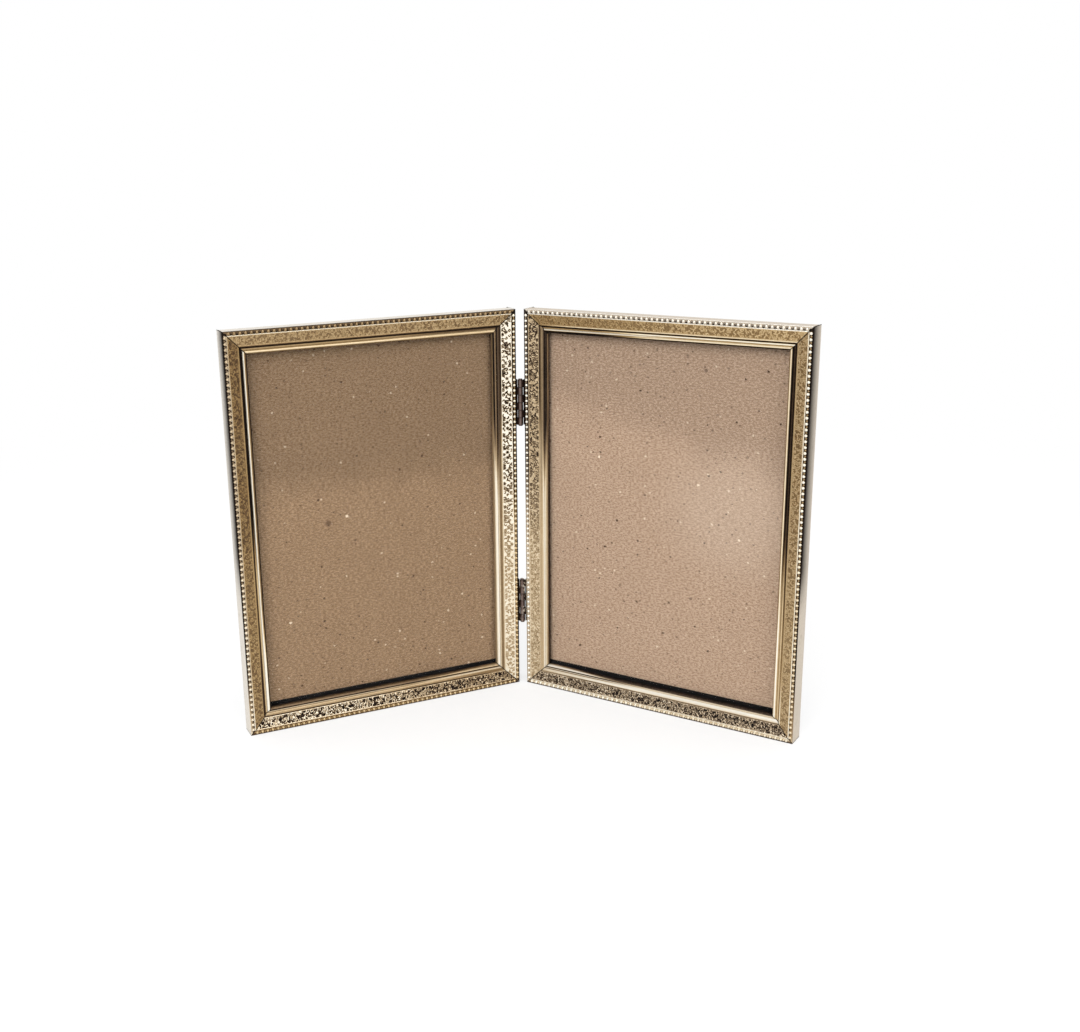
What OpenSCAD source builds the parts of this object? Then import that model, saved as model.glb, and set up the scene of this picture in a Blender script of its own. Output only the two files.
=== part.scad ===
// Hinged double photo frame: two equal upright leaves that stand open like a book.
// Each leaf is four mitred rails of rolled metal moulding round a sheet of glass,
// with a velour covered chipboard back that lifts out through the top.

/* [Picture] */
// Width of the picture, and of the glass over it
picture_w = 127; // [89:0.5:203]
// Height of the picture, and of the glass over it
picture_h = 177.8; // [120:0.2:254]
// How far the lip of the moulding laps over each edge of the picture
lip_cover = 3.2; // [2:0.1:5]
// Play round the glass, on each side of it
glass_play = 0.4; // [0.1:0.05:0.8]

/* [Moulding] */
// Thickness of the rolled metal strip
metal_t = 0.7; // [0.4:0.05:1]
// Width of the flange that holds the back panel from behind
rear_flange_w = 3.5; // [2:0.1:6]
// Size of the small slanted edge between side and face
edge_cut = 0.3; // [0.1:0.05:0.6]
// Radius of the pearl row
pearl_r = 0.95; // [0.6:0.05:1.1]
// Depth of the pearl row's middle behind the front plane
pearl_sink = 0.05; // [0:0.05:0.2]
// Width of the groove on each side of the pearl row
groove_w = 0.25; // [0.15:0.05:0.5]
// Depth of the groove on each side of the pearl row
groove_d = 0.35; // [0.25:0.05:0.45]
// Width of the flat land outside each groove
groove_land = 0.1; // [0.05:0.05:0.4]
// Width of the embossed band
band_w = 4.3; // [3:0.1:8]
// How far the embossed band falls back from its outer to its inner edge
band_fall = 1.9; // [1.5:0.1:3]
// Width of the slope from the band down to the cove
cove_slope_w = 1.2; // [0.6:0.1:2]
// How far that slope falls back
cove_fall = 1.3; // [0.9:0.1:1.8]
// Width of the cove's floor
cove_floor_w = 0.8; // [0.4:0.1:2]
// Radius of the rounded lip at the opening
lip_r = 1; // [0.8:0.05:1.4]
// Length of the straight return behind the rounded lip
lip_return = 2.0; // [0.6:0.1:2.5]

/* [Glass and back] */
// Thickness of the glass
glass_t = 1.6; // [1:0.1:3]
// Thickness of the chipboard
board_t = 1.2; // [0.8:0.1:3]
// Thickness of the velour on the chipboard
velour_t = 0.4; // [0.2:0.05:0.8]
// Height of the velour turned over the board's front along its foot
foot_hem = 11.7; // [3:0.1:14]
// Width of the velour turned over the board's front along its other edges
edge_hem = 7; // [3:0.1:9]
// Distance of the back panel's top below the top of the leaf
panel_top_drop = 1.2; // [0.5:0.1:4]
// Play before and behind the back panel in its channel
panel_play = 0.15; // [0.05:0.05:0.4]
// Play on each side of the back panel
panel_side_play = 0.3; // [0.1:0.05:0.6]
// Gap under the back panel
panel_foot_gap = 0.1; // [0.05:0.05:0.3]

/* [Corner keys] */
// Length of each leg of a corner key
key_leg = 26; // [14:0.5:30]
// Clearance between a corner key and the sloping face above it
key_fit = 0.05; // [0.02:0.01:0.2]
// Depth of a corner key's slanted front behind the strip at its outer edge
key_shoulder = 0.5; // [0.2:0.1:1]

/* [Standing] */
// Angle between the two faces as the frame stands
open_angle = 123; // [60:1:175]

/* [Hinges] */
// Height of each hinge
hinge_h = 22.5; // [16:0.5:40]
// Distance of each hinge from the nearer end of the leaf
hinge_inset = 34.2; // [31:0.1:60]
// Gap between the two leaves when they lie flat
leaf_gap = 3.1; // [2.9:0.05:4]
// How far the pivot lies in front of the leaves' front planes
pivot_proud = 1.2; // [1.15:0.05:1.6]
// Number of knuckles in one hinge
knuckle_count = 6; // [4:2:8]
// Gap between neighbouring knuckles
knuckle_gap = 0.12; // [0.05:0.01:0.3]
// Outer radius of the knuckles
barrel_r = 1.3; // [1.1:0.05:1.35]
// Radius of the hinge pin
pin_r = 0.6; // [0.4:0.05:0.65]
// Radial running clearance of the hinge pin
pin_clearance = 0.05; // [0.02:0.01:0.08]
// Radius of the pin's two heads
pin_head_r = 1; // [0.8:0.05:1.1]
// Thickness of the pin's two heads
pin_head_t = 0.35; // [0.2:0.05:0.6]
// Gap between a pin head and the knuckle beside it
pin_head_gap = 0.05; // [0.03:0.01:0.15]
// Thickness of the hinge plates
plate_t = 0.6; // [0.4:0.05:0.7]
// Depth of the hinge plates on the side of the leaf
plate_d = 6.6; // [5:0.1:7]
// Clearance between a plate and the other plate's knuckles
notch_clearance = 0.25; // [0.15:0.05:0.4]

/* [Rivets] */
// Number of rivets in one hinge plate
rivet_count = 2; // [1:1:3]
// Distance of the first and last rivet from the plate's ends
rivet_end = 5; // [3:0.5:8]
// Depth of the rivets behind the leaf's front plane
rivet_d = 3.8; // [3:0.1:4.5]
// Radius of the rivet shanks
rivet_r = 0.8; // [0.5:0.05:1]
// Radial clearance of the rivet shanks in their holes
rivet_clearance = 0.05; // [0.02:0.01:0.1]
// Radius of the rivet heads
rivet_head_r = 1.25; // [1.1:0.05:1.6]
// Thickness of the rivet heads
rivet_head_t = 0.4; // [0.2:0.05:0.45]

/* [Hidden] */
$fn = 48;
cut_margin = 1;
pearl_inset = edge_cut + groove_land + groove_w + pearl_r;
band_inset = pearl_inset + pearl_r + groove_w + groove_land;
band_end = band_inset + band_w;
cove_inset = band_end + cove_slope_w;
cove_d = band_fall + cove_fall;
face_w = cove_inset + cove_floor_w + 2 * lip_r;
leaf_w = picture_w + 2 * (face_w - lip_cover);
leaf_h = picture_h + 2 * (face_w - lip_cover);
rabbet_inset = face_w - lip_cover - glass_play;
lip_back_d = cove_d + lip_return;
glass_back_d = lip_back_d + glass_t;
panel_d = glass_back_d + panel_play;
panel_t = board_t + 2 * velour_t;
moulding_d = panel_d + panel_t + panel_play + metal_t;
panel_w = leaf_w - 2 * (metal_t + panel_side_play);
panel_foot = metal_t + panel_foot_gap;
panel_h = leaf_h - panel_top_drop - panel_foot;
half_turn = (180 - open_angle) / 2;
half_gap = leaf_gap / 2;

// Reach of the standing frame before and behind its pivot, for an origin midway
pearl_reach = half_gap + leaf_w - pearl_inset;
front_reach = pearl_reach * sin(half_turn) + pearl_r
    - (pearl_sink + pivot_proud) * cos(half_turn);
rear_reach = (moulding_d + pivot_proud) * cos(half_turn) - half_gap * sin(half_turn);
pivot_y = (front_reach - rear_reach) / 2;

knuckle_pitch = hinge_h / knuckle_count;
bore_r = pin_r + pin_clearance;
notch_reach = barrel_r + notch_clearance;
notch_y = sqrt(pow(notch_reach, 2) - pow(half_gap - plate_t, 2)) - pivot_proud;
lower_hinge_z = hinge_inset;
upper_hinge_z = leaf_h - hinge_inset - hinge_h;
rivet_pitch = rivet_count > 1 ? (hinge_h - 2 * rivet_end) / (rivet_count - 1) : 0;
rivet_start = rivet_count > 1 ? rivet_end : hinge_h / 2;

brass = [0.66, 0.54, 0.33];
steel = [0.55, 0.55, 0.53];
bronze = [0.23, 0.17, 0.14];
kraft = [0.64, 0.53, 0.42];
black_velour = [0.05, 0.05, 0.05];
clear_glass = [0.8, 0.88, 0.88, 0.35];

// Points along a path moved sideways by a distance, with mitred corners
function left_normal(a, b) = [a[1] - b[1], b[0] - a[0]] / norm(b - a);
function mitre_shift(n1, n2) = (n1 + n2) / (1 + n1 * n2);
function beside(path, distance) = [
    for (i = [0:len(path) - 1])
        let (
            n1 = i > 0 ? left_normal(path[i - 1], path[i]) : left_normal(path[0], path[1]),
            n2 = i < len(path) - 1 ? left_normal(path[i], path[i + 1]) : n1
        )
        path[i] + distance * mitre_shift(n1, n2)
];
function reversed(path) = [for (i = [len(path) - 1:-1:0]) path[i]];

// Points of a half circle that bulges to the front, from its outer to its inner end
arc_steps = 12;
function front_arc(inset, depth, r) = [
    for (i = [0:arc_steps])
        let (turn = 180 * i / arc_steps)
        [inset - r * cos(turn), depth - r * sin(turn)]
];

// Section of the strip as [inset, depth]: rear flange, side, pearl row, band, cove, lip
function side_path(back, flange) = concat(
    flange > 0 ? [[flange, back]] : [],
    [[0, back]]
);
function pearl_path() = concat(
    [
        [pearl_inset - pearl_r - groove_w, 0],
        [pearl_inset - pearl_r, groove_d]
    ],
    front_arc(pearl_inset, pearl_sink, pearl_r),
    [
        [pearl_inset + pearl_r, groove_d],
        [pearl_inset + pearl_r + groove_w, 0]
    ]
);
function face_path() = concat(
    [
        [band_inset, 0],
        [band_end, band_fall],
        [cove_inset, cove_d]
    ],
    front_arc(face_w - lip_r, cove_d, lip_r),
    [[face_w, lip_back_d]]
);

module strip_section(back, flange) {
    side = side_path(back, flange);
    front_edge = [[0, edge_cut], [edge_cut, 0]];
    inner = beside(concat(side, [[0, 0]], face_path()), metal_t);
    polygon(concat(side, front_edge, pearl_path(), face_path(), reversed(inner)));
}

// A length of a section laid along +X, with insets running up
module laid_along_x(length) {
    translate([length, 0, 0])
        rotate([0, -90, 0])
            linear_extrude(length)
                children();
}

// Keeps what lies inside the mitre lines that run from both ends of one edge
module mitred(length, across) {
    reach = min(length, across) / 2;
    intersection() {
        children();
        translate([0, moulding_d + cut_margin, 0])
            rotate([90, 0, 0])
                linear_extrude(moulding_d + pearl_r + 2 * cut_margin)
                    polygon([[0, 0], [reach, reach], [length - reach, reach], [length, 0]]);
    }
}

module level_rail(back, flange) {
    mitred(leaf_w, leaf_h)
        laid_along_x(leaf_w)
            strip_section(back, flange);
}

// Swaps length and height, so that what lay along the leaf's foot stands along its hinge edge
module stood_up() {
    rotate([0, 90, 0])
        mirror([1, 0, 0])
            children();
}

module upright_stile() {
    stood_up()
        mitred(leaf_h, leaf_w)
            laid_along_x(leaf_h)
                strip_section(moulding_d, rear_flange_w);
}

module bottom_rail() {
    color(brass)
        level_rail(moulding_d, rear_flange_w);
}

// The top rail has no rear flange and ends at the glass, so the back can lift out
module top_rail() {
    color(brass)
        translate([0, 0, leaf_h])
            mirror([0, 0, 1])
                level_rail(glass_back_d, 0);
}

module hinge_stile() {
    color(brass)
        difference() {
            upright_stile();
            rivet_holes();
        }
}

module outer_stile() {
    color(brass)
        translate([leaf_w, 0, 0])
            mirror([1, 0, 0])
                upright_stile();
}

// Depth of a key's inner edge that clears a slope which starts at a depth and an inset
function below_slope(depth, inset, fall) =
    depth + (rabbet_inset - inset) * fall + metal_t * norm([1, fall]) + key_fit;

// Section of a corner key: it fills the hollow under the band as far as the glass
module key_section() {
    under_band = below_slope(0, band_inset, band_fall / band_w);
    under_slope = below_slope(band_fall, band_end, cove_fall / cove_slope_w);
    polygon([
        [metal_t, glass_back_d],
        [metal_t, metal_t + key_shoulder],
        [band_inset, metal_t + key_shoulder],
        [rabbet_inset, max(under_band, under_slope)],
        [rabbet_inset, glass_back_d]
    ]);
}

module key_arm() {
    intersection() {
        mitred(leaf_w, leaf_h)
            laid_along_x(leaf_w)
                key_section();
        cube([key_leg, glass_back_d, rabbet_inset]);
    }
}

module corner_key() {
    key_arm();
    stood_up()
        key_arm();
}

module corner_keys() {
    color(steel)
        for (right = [0, 1], top = [0, 1])
            translate([right * leaf_w, 0, top * leaf_h])
                mirror([right, 0, 0])
                    mirror([0, 0, top])
                        corner_key();
}

module glass() {
    color(clear_glass)
        translate([(leaf_w - picture_w) / 2, lip_back_d, rabbet_inset])
            cube([picture_w, glass_t, picture_h]);
}

// The board lies inside its velour cover
module board_block() {
    translate([(leaf_w - panel_w) / 2 + velour_t, panel_d + velour_t, panel_foot + velour_t])
        cube([panel_w - 2 * velour_t, board_t, panel_h - 2 * velour_t]);
}

module backing_board() {
    color(kraft)
        board_block();
}

module velour_cover() {
    color(black_velour)
        difference() {
            translate([(leaf_w - panel_w) / 2, panel_d, panel_foot])
                cube([panel_w, panel_t, panel_h]);
            board_block();
            translate([
                (leaf_w - panel_w) / 2 + edge_hem,
                panel_d - cut_margin,
                panel_foot + foot_hem
            ])
                cube([
                    panel_w - 2 * edge_hem,
                    cut_margin + velour_t,
                    panel_h - foot_hem - edge_hem
                ]);
        }
}

// Places a child at each rivet of one leaf, with its axis along +X
module at_rivets() {
    for (hinge_z = [lower_hinge_z, upper_hinge_z], i = [0:rivet_count - 1])
        translate([0, rivet_d, hinge_z + rivet_start + i * rivet_pitch])
            rotate([0, 90, 0])
                children();
}

module rivet_holes() {
    at_rivets()
        translate([0, 0, -plate_t - cut_margin])
            cylinder(r = rivet_r + rivet_clearance, h = plate_t + metal_t + 2 * cut_margin);
}

module hinge_rivets() {
    color(bronze)
        at_rivets() {
            translate([0, 0, -plate_t - rivet_head_t])
                cylinder(r = rivet_head_r, h = rivet_head_t);
            translate([0, 0, -plate_t])
                cylinder(r = rivet_r, h = plate_t + metal_t);
            translate([0, 0, metal_t])
                cylinder(r = rivet_head_r, h = rivet_head_t);
        }
}

// A hinge plate on the side of the right leaf, with every second knuckle from first_knuckle up
module hinge_plate(hinge_z, first_knuckle) {
    color(bronze)
        difference() {
            union() {
                translate([-plate_t, notch_y, hinge_z])
                    cube([plate_t, plate_d - notch_y, hinge_h]);
                for (i = [first_knuckle:2:knuckle_count - 1])
                    translate([0, 0, hinge_z + i * knuckle_pitch + knuckle_gap / 2]) {
                        translate([-half_gap, -pivot_proud, 0])
                            cylinder(r = barrel_r, h = knuckle_pitch - knuckle_gap);
                        translate([-plate_t, -pivot_proud, 0])
                            cube([plate_t, pivot_proud + plate_d, knuckle_pitch - knuckle_gap]);
                    }
            }
            translate([-half_gap, -pivot_proud, hinge_z - cut_margin])
                cylinder(r = bore_r, h = hinge_h + 2 * cut_margin);
            rivet_holes();
        }
}

module hinge_pin(hinge_z) {
    foot = hinge_z - pin_head_gap;
    shank = hinge_h + 2 * pin_head_gap;
    color(bronze)
        translate([-half_gap, -pivot_proud, 0]) {
            translate([0, 0, foot])
                cylinder(r = pin_r, h = shank);
            for (head_z = [foot - pin_head_t, foot + shank])
                translate([0, 0, head_z])
                    cylinder(r = pin_head_r, h = pin_head_t);
        }
}

// Stands a leaf's own pieces open about the pivot: the leaf's edge at x = 0, its front at y = 0
module on_right() {
    translate([0, pivot_y, 0])
        rotate([0, 0, -half_turn])
            translate([half_gap, pivot_proud, 0])
                children();
}

module on_left() {
    mirror([1, 0, 0])
        on_right()
            children();
}

on_left() top_rail();  // left_top_rail
on_left() bottom_rail();  // left_bottom_rail
on_left() hinge_stile();  // left_hinge_stile
on_left() outer_stile();  // left_outer_stile
on_left() corner_keys();  // left_corner_keys
on_left() glass();  // left_glass
on_left() backing_board();  // left_backing_board
on_left() velour_cover();  // left_velour_cover
on_right() top_rail();  // right_top_rail
on_right() bottom_rail();  // right_bottom_rail
on_right() hinge_stile();  // right_hinge_stile
on_right() outer_stile();  // right_outer_stile
on_right() corner_keys();  // right_corner_keys
on_right() glass();  // right_glass
on_right() backing_board();  // right_backing_board
on_right() velour_cover();  // right_velour_cover
on_left() hinge_plate(upper_hinge_z, 0);  // upper_hinge_left_plate
on_right() hinge_plate(upper_hinge_z, 1);  // upper_hinge_right_plate
on_left() hinge_pin(upper_hinge_z);  // upper_hinge_pin
on_left() hinge_plate(lower_hinge_z, 0);  // lower_hinge_left_plate
on_right() hinge_plate(lower_hinge_z, 1);  // lower_hinge_right_plate
on_left() hinge_pin(lower_hinge_z);  // lower_hinge_pin
on_left() hinge_rivets();  // left_hinge_rivets
on_right() hinge_rivets();  // right_hinge_rivets
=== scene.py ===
"""Dresses the hinged double photo frame: gilt mouldings, glass, chipboard, velour and hinges."""

import logging
import math
import random
from dataclasses import dataclass, field
from enum import Enum
from typing import Any, Sequence

import bmesh
import bpy
import numpy as np
from mathutils import Matrix, Vector


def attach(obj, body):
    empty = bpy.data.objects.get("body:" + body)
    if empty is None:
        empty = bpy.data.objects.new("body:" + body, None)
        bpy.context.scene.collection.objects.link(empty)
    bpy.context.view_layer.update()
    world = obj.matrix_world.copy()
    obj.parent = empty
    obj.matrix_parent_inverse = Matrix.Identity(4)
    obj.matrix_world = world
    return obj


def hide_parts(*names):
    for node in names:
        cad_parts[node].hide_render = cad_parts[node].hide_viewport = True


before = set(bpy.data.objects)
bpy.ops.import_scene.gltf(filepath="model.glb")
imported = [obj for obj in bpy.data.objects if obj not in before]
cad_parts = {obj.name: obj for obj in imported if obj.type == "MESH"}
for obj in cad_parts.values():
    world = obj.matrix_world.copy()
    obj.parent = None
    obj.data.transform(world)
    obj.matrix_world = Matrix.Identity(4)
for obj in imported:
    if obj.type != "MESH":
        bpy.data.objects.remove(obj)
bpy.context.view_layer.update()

log = logging.getLogger("double_frame")

MM = 0.001
Colour = tuple[float, float, float]


def paint(red: int, green: int, blue: int) -> Colour:
    """The linear colour that a shader takes, of one from 0 to 255 as a screen shows it."""
    shown = (value / 255 for value in (red, green, blue))
    return tuple(v / 12.92 if v <= 0.04045 else ((v + 0.055) / 1.055) ** 2.4 for v in shown)


def smooth(low: float, high: float, value: np.ndarray) -> np.ndarray:
    """A soft step, from 0 at low to 1 at high."""
    share = np.clip((value - low) / (high - low), 0, 1)
    return share * share * (3 - 2 * share)


# Shader wiring


class Wire:
    """An output of a shader node that takes part in plain arithmetic."""

    def __init__(self, recipe: "Recipe", socket: bpy.types.NodeSocket) -> None:
        """Keeps the socket and the recipe that its nodes go to."""
        self.recipe = recipe
        self.socket = socket

    def _math(self, operation: str, first: Any, second: Any) -> "Wire":
        """Adds one Math node that takes two wires or numbers."""
        return self.recipe.node("ShaderNodeMath", {"operation": operation}, {0: first, 1: second})

    def __add__(self, other: Any) -> "Wire":
        """This plus the other."""
        return self._math("ADD", self, other)

    __radd__ = __add__

    def __sub__(self, other: Any) -> "Wire":
        """This less the other."""
        return self._math("SUBTRACT", self, other)

    def __rsub__(self, other: Any) -> "Wire":
        """The other less this."""
        return self._math("SUBTRACT", other, self)

    def __mul__(self, other: Any) -> "Wire":
        """This times the other."""
        return self._math("MULTIPLY", self, other)

    __rmul__ = __mul__

    def __truediv__(self, other: Any) -> "Wire":
        """This over the other."""
        return self._math("DIVIDE", self, other)

    def __pow__(self, other: Any) -> "Wire":
        """This to the power of the other."""
        return self._math("POWER", self, other)

    def at_most(self, other: Any) -> "Wire":
        """The smaller of the two."""
        return self._math("MINIMUM", self, other)

    def at_least(self, other: Any) -> "Wire":
        """The larger of the two."""
        return self._math("MAXIMUM", self, other)

    def step(self, low: float, high: float) -> "Wire":
        """A soft step from 0 at low to 1 at high, which may be below low."""
        rising = low < high
        return self.recipe.node(
            "ShaderNodeMapRange",
            {"interpolation_type": "SMOOTHSTEP", "clamp": True},
            {
                "Value": self,
                "From Min": low if rising else high,
                "From Max": high if rising else low,
                "To Min": 0.0 if rising else 1.0,
                "To Max": 1.0 if rising else 0.0,
            },
        )


class Recipe:
    """The nodes of one material, world or floor."""

    def __init__(self, owner: Any) -> None:
        """Empties the owner's node tree and keeps it.

        Args:
            owner: A material or a world.
        """
        owner.use_nodes = True
        self.tree = owner.node_tree
        self.tree.nodes.clear()

    def node(
        self,
        kind: str,
        settings: dict[str, Any] | None = None,
        values: dict[Any, Any] | None = None,
        out: Any = 0,
    ) -> Wire:
        """Adds a node: its type, its settings first, then its sockets.

        Args:
            kind: The node's type.
            settings: Its own settings, with a ramp's stops under "stops".
            values: Numbers, colours or wires by the name or number of the input.
            out: The name or number of the output that is wanted.

        Returns:
            That output.
        """
        made = self.tree.nodes.new(kind)
        for name, value in (settings or {}).items():
            if name == "stops":
                self._set_stops(made.color_ramp, value)
            else:
                setattr(made, name, value)
        for name, value in (values or {}).items():
            socket = made.inputs[name]
            if isinstance(value, Wire):
                self.tree.links.new(value.socket, socket)
            elif isinstance(value, tuple) and len(value) == 3 and socket.type == "RGBA":
                socket.default_value = (*value, 1.0)
            else:
                socket.default_value = value
        return Wire(self, made.outputs[out]) if len(made.outputs) else None

    @staticmethod
    def _set_stops(ramp: bpy.types.ColorRamp, stops: Sequence[tuple[float, Colour]]) -> None:
        """Gives a ramp its stops, in order along it."""
        while len(ramp.elements) < len(stops):
            ramp.elements.new(1.0)
        for element, (place, colour) in zip(ramp.elements, stops):
            element.position = place
            element.color = (*colour, 1.0)

    def place(self) -> Wire:
        """Where the surface is on its own object."""
        return self.node("ShaderNodeTexCoord", out="Object")

    def stretched(self, scale: tuple[float, float, float], turn: float = 0.0) -> Wire:
        """The object's own coordinates, turned in radians about the upright and stretched."""
        return self.node(
            "ShaderNodeMapping",
            values={"Vector": self.place(), "Scale": scale, "Rotation": (0.0, 0.0, turn)},
        )

    def axes(self, vector: Wire) -> tuple[Wire, ...]:
        """The three numbers of a vector."""
        apart = self.node("ShaderNodeSeparateXYZ", values={"Vector": vector})
        return tuple(Wire(self, output) for output in apart.socket.node.outputs)

    def number(self, name: str) -> Wire:
        """A number that the mesh holds at each of its points."""
        return self.node("ShaderNodeAttribute", {"attribute_name": name}, out="Fac")

    def noise(self, scale: float, detail: float = 2.0, roughness: float = 0.5,
              vector: Wire | None = None) -> Wire:
        """Cloudy noise from 0 to 1, with its scale in lumps per metre."""
        return self.node(
            "ShaderNodeTexNoise",
            values={"Vector": vector or self.place(), "Scale": scale, "Detail": detail,
                    "Roughness": roughness},
        )

    def noise_vector(self, scale: float, vector: Wire) -> Wire:
        """A small wandering direction, from -0.5 to 0.5 on each axis."""
        values = {"Vector": vector, "Scale": scale, "Detail": 2.0}
        made = self.node("ShaderNodeTexNoise", values=values, out="Color")
        middle = (0.5, 0.5, 0.5)
        return self.node("ShaderNodeVectorMath", {"operation": "SUBTRACT"}, {0: made, 1: middle})

    def cells(self, scale: float, vector: Wire) -> tuple[Wire, Wire]:
        """Scattered spots.

        Args:
            scale: Spots per metre.
            vector: Coordinates.

        Returns:
            How far the surface is from a spot's middle, and a number of the spot's own.
        """
        near = self.node(
            "ShaderNodeTexVoronoi", values={"Vector": vector, "Scale": scale}, out="Distance"
        )
        tint = Wire(self, near.socket.node.outputs["Color"])
        return near, self.node("ShaderNodeSeparateColor", values={"Color": tint})

    def blend(self, share: Any, first: Any, second: Any, mode: str = "MIX") -> Wire:
        """A colour or wire between two, by a share from 0 to 1 of the second."""
        return self.node(
            "ShaderNodeMix",
            {"data_type": "RGBA", "blend_type": mode, "clamp_factor": True},
            {0: share, 6: first, 7: second},
            out=2,
        )

    def bump(self, height: Wire, distance: float, strength: float) -> Wire:
        """A surface normal shaken by a height, whose distance is in metres."""
        return self.node(
            "ShaderNodeBump",
            values={"Height": height, "Distance": distance, "Strength": strength},
        )

    def surface(self, values: dict[str, Any]) -> Wire:
        """The main surface shader with these inputs."""
        return self.node("ShaderNodeBsdfPrincipled", values=values)

    def finish(self, shader: Wire, kind: str = "ShaderNodeOutputMaterial") -> None:
        """Links the shader to an output node."""
        self.node(kind, values={"Surface": shader})


class Finish:
    """A finish that makes one material when it is first asked for."""

    name: str
    _made: dict[Any, bpy.types.Material] = {}

    def material(self) -> bpy.types.Material:
        """The material of this finish."""
        if self not in Finish._made:
            made = bpy.data.materials.new(self.name)
            self.write(Recipe(made))
            Finish._made[self] = made
        return Finish._made[self]

    def write(self, r: Recipe) -> None:
        """Adds the finish's nodes to a recipe."""
        raise NotImplementedError


@dataclass(frozen=True)
class GiltFinish(Finish):
    """Aged gilt: each point's tone runs from rubbed cream over gold and umber to black dirt, and
    also paints in highlights, reflections and shade.
    """

    name: str
    side: Colour
    side_shade: Colour
    metal: float = 0.5
    polish: float = 0.22
    mottle: float = 0.05
    # The ramp's cream end also stands for painted highlights, and its umber and black for painted
    # shade and dark reflections.
    ramp: tuple[tuple[float, Colour], ...] = (
        (0.00, paint(252, 246, 230)),
        (0.15, paint(242, 227, 196)),
        (0.30, paint(218, 194, 152)),
        (0.45, paint(186, 158, 112)),
        (0.60, paint(152, 123, 78)),
        (0.75, paint(108, 82, 50)),
        (0.88, paint(62, 45, 29)),
        (1.00, paint(16, 11, 8)),
    )

    def write(self, r: Recipe) -> None:
        """Adds the strip's nodes."""
        clouds = r.noise(70.0, 3.0, 0.55)
        grain = r.noise(3200.0, 2.0, 0.6)
        stain = r.noise(900.0, 4.0, 0.65)
        side = r.number("side")
        tone = r.number("tone")
        unsure = (clouds - 0.5) * (2.0 * self.mottle) + (stain - 0.5) * (2.0 * self.mottle)
        grit = r.noise(1500.0, 2.0, 0.7)
        tone = tone + unsure + (grain - 0.5) * 0.08 + (grit - 0.5) * r.number("speckle")
        # The tone picks the colour off the ramp, painted highlights, reflections and shade
        # included.
        front = r.node("ShaderNodeValToRGB", {"stops": self.ramp}, {"Fac": tone})
        greyed = r.node("ShaderNodeHueSaturation", values={"Saturation": 0.0, "Color": front})
        front = r.blend(r.number("richness"), greyed, front)
        scuffs = r.noise(240.0, 3.0, 0.6).step(0.56, 0.78)
        worn = (stain.step(0.35, 0.75) * 0.35 + scuffs * 0.45).at_most(1.0)
        colour = r.blend(side, front, r.blend(worn, self.side, self.side_shade))
        joint = r.number("mitre").step(0.46, 0.18)
        colour = r.blend(joint * 0.92, colour, (0.010, 0.007, 0.005))
        # The darkest tones, painted shade as well as dirt, and the mitre joints go rougher and
        # matt.
        dirt = (tone.step(0.7, 1.0) * (1.0 - side)).at_least(joint)
        normal = r.bump(grain, 0.00004, 0.35)
        gilt = r.surface({
            "Base Color": colour,
            "Metallic": self.metal + side * (1.0 - self.metal),
            "Roughness": self.polish + dirt * 0.30 + side * 0.20 + (grain - 0.5) * 0.12,
            "Normal": normal,
        })
        matt = r.surface({
            "Base Color": colour,
            "Roughness": 0.9,
            "Specular IOR Level": 0.05,
            "Normal": normal,
        })
        r.finish(r.node("ShaderNodeMixShader", values={0: dirt * 0.9, 1: gilt, 2: matt}))


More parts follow.
